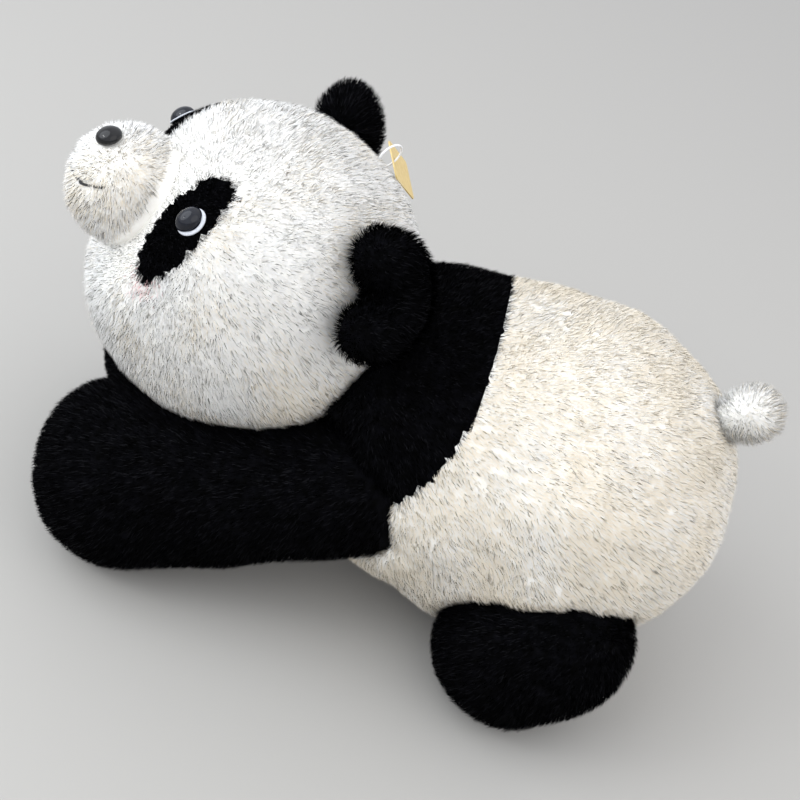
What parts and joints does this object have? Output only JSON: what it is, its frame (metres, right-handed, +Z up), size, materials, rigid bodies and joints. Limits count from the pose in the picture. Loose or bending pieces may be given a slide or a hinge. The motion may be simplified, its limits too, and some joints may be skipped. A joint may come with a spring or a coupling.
{
  "type": "plush panda",
  "caption": "Soft plush panda lying on its belly with a big round head, a ball muzzle, black ears, arms and legs, a black shoulder band and a round white tail.",
  "frame": {"origin": "on the floor under the middle of the toy's bounding box", "axes": "+Z up from the floor, -Y the way the panda faces, +X the panda's left side"},
  "size_m": [0.358, 0.5677, 0.377],
  "materials": {
    "cream_fur": "long soft pile",
    "black_fur": "long soft pile",
    "patch_fur": "short soft pile",
    "stuffing": "polyester fibre fill",
    "eye_plastic": "glossy",
    "nose_plastic": "glossy",
    "rim_felt": "felt",
    "washer_plastic": "matte",
    "thread": "embroidery thread",
    "tag_card": "gilded card",
    "tag_plastic": "satin"
  },
  "bodies": {
    "trunk": {"trunk_skin": "cream_fur", "shoulder_band": "black_fur", "trunk_stuffing": "stuffing"},
    "head": {"head_skin": "cream_fur", "head_stuffing": "stuffing", "muzzle_skin": "cream_fur", "muzzle_stuffing": "stuffing", "nose": "nose_plastic", "nose_washer": "washer_plastic", "mouth_stitch": "thread", "left_eye_patch": "patch_fur", "right_eye_patch": "patch_fur", "left_eye": "eye_plastic", "right_eye": "eye_plastic", "left_eye_rim": "rim_felt", "right_eye_rim": "rim_felt", "left_eye_washer": "washer_plastic", "right_eye_washer": "washer_plastic", "tag_loop": "tag_plastic"},
    "left_ear": {"left_ear_skin": "black_fur", "left_ear_padding": "stuffing"},
    "right_ear": {"right_ear_skin": "black_fur", "right_ear_padding": "stuffing"},
    "left_arm": {"left_arm_skin": "black_fur", "left_arm_stuffing": "stuffing"},
    "right_arm": {"right_arm_skin": "black_fur", "right_arm_stuffing": "stuffing"},
    "left_leg": {"left_leg_skin": "black_fur", "left_leg_stuffing": "stuffing"},
    "right_leg": {"right_leg_skin": "black_fur", "right_leg_stuffing": "stuffing"},
    "tail": {"tail_skin": "cream_fur", "tail_stuffing": "stuffing"},
    "tag": {"hang_tag": "tag_card"}
  },
  "joints": [
    {"name": "head_nod", "type": "hinge", "parent": "trunk", "child": "head", "pos_m": [0, -0.142, 0.252], "axis": [0.9336, 0.3584, 0], "range_deg": [-8, 12], "stiffness_Nm_per_rad": 4},
    {"name": "left_arm_spread", "type": "hinge", "parent": "trunk", "child": "left_arm", "pos_m": [0.074, -0.009, 0.145], "axis": [0, 0, 1], "range_deg": [0, 20], "stiffness_Nm_per_rad": 1.5},
    {"name": "right_arm_spread", "type": "hinge", "parent": "trunk", "child": "right_arm", "pos_m": [-0.074, -0.009, 0.145], "axis": [0, 0, -1], "range_deg": [0, 20], "stiffness_Nm_per_rad": 1.5},
    {"name": "left_leg_swing", "type": "hinge", "parent": "trunk", "child": "left_leg", "pos_m": [0.106, 0.172, 0.08], "axis": [0, 0, 1], "range_deg": [-10, 15], "stiffness_Nm_per_rad": 1.5},
    {"name": "right_leg_swing", "type": "hinge", "parent": "trunk", "child": "right_leg", "pos_m": [-0.106, 0.172, 0.08], "axis": [0, 0, -1], "range_deg": [-10, 15], "stiffness_Nm_per_rad": 1.5},
    {"name": "tail_wag", "type": "hinge", "parent": "trunk", "child": "tail", "pos_m": [0, 0.24474, 0.25911], "axis": [0, -0.6947, 0.7193], "range_deg": [-20, 20], "stiffness_Nm_per_rad": 0.1},
    {"name": "left_ear_fold", "type": "hinge", "parent": "head", "child": "left_ear", "pos_m": [0.06272, -0.04759, 0.30472], "axis": [-0.5305, -0.1164, 0.8397], "range_deg": [-12, 12], "stiffness_Nm_per_rad": 0.6},
    {"name": "right_ear_fold", "type": "hinge", "parent": "head", "child": "right_ear", "pos_m": [-0.10978, -0.11381, 0.30472], "axis": [-0.4721, -0.2684, -0.8397], "range_deg": [-12, 12], "stiffness_Nm_per_rad": 0.6},
    {"name": "tag_swing", "type": "hinge", "parent": "head", "child": "tag", "pos_m": [-0.06417, -0.06731, 0.34529], "axis": [0.602, 0.772, -0.204], "range_deg": [0, 35]}
  ]
}
